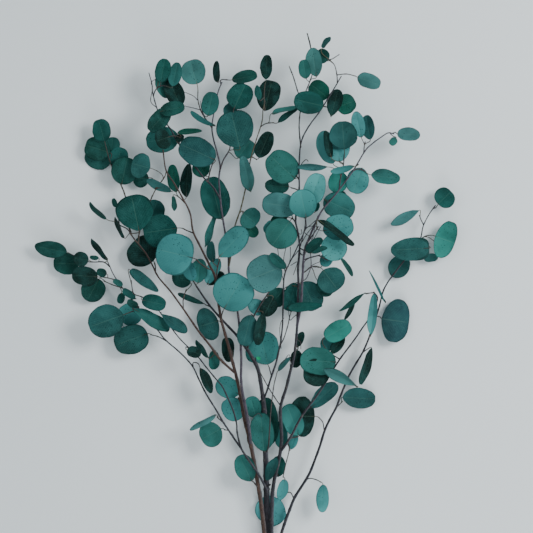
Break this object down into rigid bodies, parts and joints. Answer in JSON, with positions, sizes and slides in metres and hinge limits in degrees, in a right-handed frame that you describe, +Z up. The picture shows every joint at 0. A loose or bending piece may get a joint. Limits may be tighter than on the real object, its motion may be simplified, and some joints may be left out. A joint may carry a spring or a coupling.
{
  "type": "eucalyptus branch",
  "caption": "Cut branch of preserved silver-dollar eucalyptus lying on its side: a forked woody stem with side limbs, twigs and round blue-green leaves.",
  "frame": {"origin": "middle of the branch's length and width, on the surface that it lies on", "axes": "+Y along the branch from the cut end to the crown, +Z up from the surface, +X to the right when it is seen from above with the crown up"},
  "size_m": [0.5524, 0.744, 0.0699],
  "materials": {
    "bark": "dry thin bark, grey-brown to reddish, with knots",
    "leaf": "leathery preserved blade, matt to satin, with a pale blue-green bloom"
  },
  "bodies": {
    "root": {"main_limb": "bark", "main_sprig_1": "leaf", "main_sprig_2": "leaf", "main_sprig_3": "leaf", "left_limb": "bark", "left_sprig_1": "leaf", "left_sprig_2": "leaf", "left_sprig_3": "leaf", "left_sprig_4": "leaf", "left_fork_limb": "bark", "left_fork_sprig_1": "leaf", "left_fork_sprig_2": "leaf", "left_fork_sprig_3": "leaf", "left_fork_sprig_4": "leaf", "grey_limb": "bark", "grey_sprig_1": "leaf", "grey_sprig_2": "leaf", "grey_sprig_3": "leaf", "grey_sprig_4": "leaf", "tall_left_limb": "bark", "tall_left_sprig_1": "leaf", "tall_left_sprig_2": "leaf", "tall_left_sprig_3": "leaf", "tall_left_sprig_4": "leaf", "olive_limb": "bark", "olive_sprig_1": "leaf", "olive_sprig_2": "leaf", "olive_sprig_3": "leaf", "right_limb": "bark", "right_sprig_1": "leaf", "right_sprig_2": "leaf", "right_sprig_3": "leaf", "right_sprig_4": "leaf", "right_sprig_5": "leaf", "right_sprig_6": "leaf", "upper_right_limb": "bark", "upper_right_sprig_1": "leaf", "upper_right_sprig_2": "leaf", "upper_right_sprig_3": "leaf", "upper_right_sprig_4": "leaf", "upper_right_sprig_5": "leaf", "upper_right_sprig_6": "leaf", "upper_right_sprig_7": "leaf", "inner_limb": "bark", "inner_sprig_1": "leaf", "inner_sprig_2": "leaf", "low_right_limb": "bark", "low_right_sprig_1": "leaf", "low_right_sprig_2": "leaf", "low_right_sprig_3": "leaf", "outer_right_limb": "bark", "outer_right_sprig_1": "leaf", "low_left_limb": "bark", "low_left_sprig_1": "leaf", "low_left_sprig_2": "leaf", "low_left_sprig_3": "leaf", "low_left_sprig_4": "leaf", "second_left_limb": "bark", "second_left_sprig_1": "leaf"}
  },
  "joints": []
}
